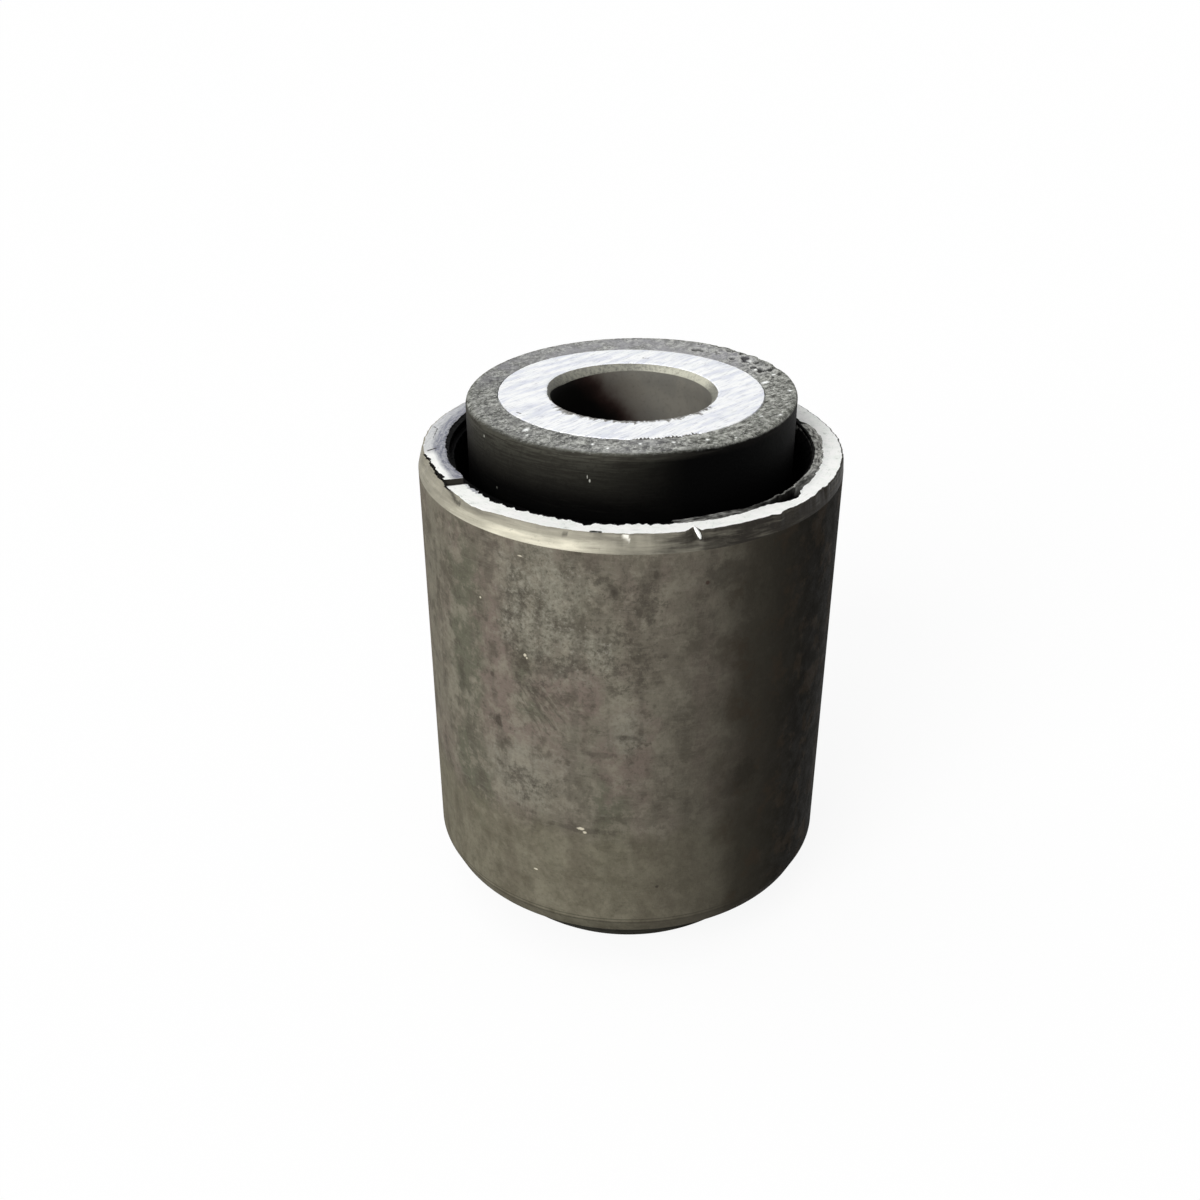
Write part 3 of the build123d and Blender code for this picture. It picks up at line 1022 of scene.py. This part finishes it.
    # painted shade on the collar side, darker on its shaded side and down into the groove; painted sheen near
    # its top on the lit side
    shaded_side = along(angles, {-180: 0.3, -150: 0.1, -110: 0.1, -86: 0.5, -72: 1, 10: 1, 40: 0.5})
    for row in range(first_ground):
        height = skin.rings[row][1]
        dirt[row] = np.maximum(shaded_side, share(height, inner_top - 1.6, inner_top - 4.8) * 0.9)
        lit[row] = share(height, inner_top - 4.0, inner_top - 0.8) * 0.7
        lit[row] += share(height, inner_top - 1.5, inner_top - 0.7) * 0.3
        lit[row] *= lit_side
    # painted sheen on the front of the lower collar, with most of its painted shade taken off
    lit[:above_collar] = 0.75 * window(angles, -160, -40, 40)
    dirt[:above_collar] *= 0.3
    dust = along(angles, lip_dust) * smeared
    # painted shade: black on the skin's top and lip outside the smeared part, and down in the tear
    for row in range(first_top, last_top):
        in_the_tear = tear * (row < first_lip)
        dirt[row] = np.maximum(1 - smeared, in_the_tear)
        smear[row] = dust * (1 - in_the_tear)
        smear[row] *= np.clip(1 + ragged(angles, 71 + row // 2, 1.7, 1.5), 0.05, 2)
    # painted highlight along the crest of the lip in the tear
    smear[first_lip + 1] += 0.3 * window(angles, -44, -18, 8) * smeared
    return skin.make("rubber_moulding", bush_rubber())


rubber = make_rubber()
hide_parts("rubber_body")
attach(rubber, "root")


# ---------------------------------------------------------- floor, light
# A pale floor that runs out to a white surround, and soft lamps: a broad one
# from the left, low enough to rake the wall, and one high behind.

white = (1.0, 1.0, 1.0, 1.0)


def empty_tree(block):
    """The node tree of a new material or world, with nothing in it."""
    block.use_nodes = True
    block.node_tree.nodes.clear()
    return block.node_tree


def light(tree, kind, **inputs):
    """The light of a diffuse, glowing or background node."""
    return add_node(tree, kind, inputs).outputs[0]


def mix(tree, factor, first, second):
    """Turns the first light into the second, as far as factor says."""
    return add_node(tree, "MixShader", {0: factor, 1: first, 2: second}).outputs[0]


def white_where_seen(tree, lit, seen):
    """Turns lit into seen for the camera, for reflections and for what shows through glass."""
    rays = add_node(tree, "LightPath").outputs
    total = rays["Is Camera Ray"]
    for title in ("Is Glossy Ray", "Is Transmission Ray"):
        total = add_node(tree, "Math", {0: total, 1: rays[title]}, operation="MAXIMUM").outputs[0]
    return mix(tree, total, lit, seen)


def make_floor():
    """Pale floor. It is seen as white, with a tenth of the shadow that falls on it."""
    size = 3.0
    mesh = bpy.data.meshes.new("floor")
    corners = [(-size, -size, 0), (size, -size, 0), (size, size, 0), (-size, size, 0)]
    mesh.from_pydata(corners, [], [(0, 1, 2, 3)])
    finish = bpy.data.materials.new("floor_white")
    mesh.materials.append(finish)
    tree = empty_tree(finish)
    lit = light(tree, "BsdfDiffuse", Color=colour(172, 172, 170))
    shaded = light(tree, "BsdfDiffuse", Color=white)
    plain = light(tree, "Emission", Color=white, Strength=1.0)
    surface = white_where_seen(tree, lit, mix(tree, 0.9, shaded, plain))
    add_node(tree, "OutputMaterial", {"Surface": surface})
    return put("floor", mesh)


def make_surround():
    """Dim even light from all round, seen as white."""
    world = bpy.data.worlds.new("surround")
    tree = empty_tree(world)
    lit = light(tree, "Background", Color=(0.8, 0.8, 0.8, 1.0), Strength=0.28)
    plain = light(tree, "Background", Color=white, Strength=1.0)
    add_node(tree, "OutputWorld", {"Surface": white_where_seen(tree, lit, plain)})
    bpy.context.scene.world = world


def make_lamp(name, angle, height, level, softness):
    """Soft far lamp at an angle round the bush and a height above the floor, in degrees."""
    lamp = bpy.data.lights.new(name, "SUN")
    lamp.energy = level * math.pi
    lamp.angle = math.radians(softness)
    put(name, lamp).rotation_euler = (math.radians(90 - height), 0, math.radians(angle + 90))


make_floor()
make_surround()
make_lamp("window_lamp", -122, 30, 0.80, 35)
make_lamp("top_lamp", -150, 74, 0.36, 60)


# --------------------------------------------------------------- camera
# Close to the bush and a little above it, looking down at the front.

lens = bpy.data.cameras.new("camera")
lens.lens = 38.735
lens.sensor_width = 36.0
lens.clip_start = 0.005
camera = put("camera", lens)
camera.location = (0.0, -0.091537, 0.074991)
camera.rotation_euler = (math.radians(61.504), math.radians(0.024), math.radians(1.433))
bpy.context.scene.camera = camera
bpy.context.scene.view_settings.view_transform = "Standard"
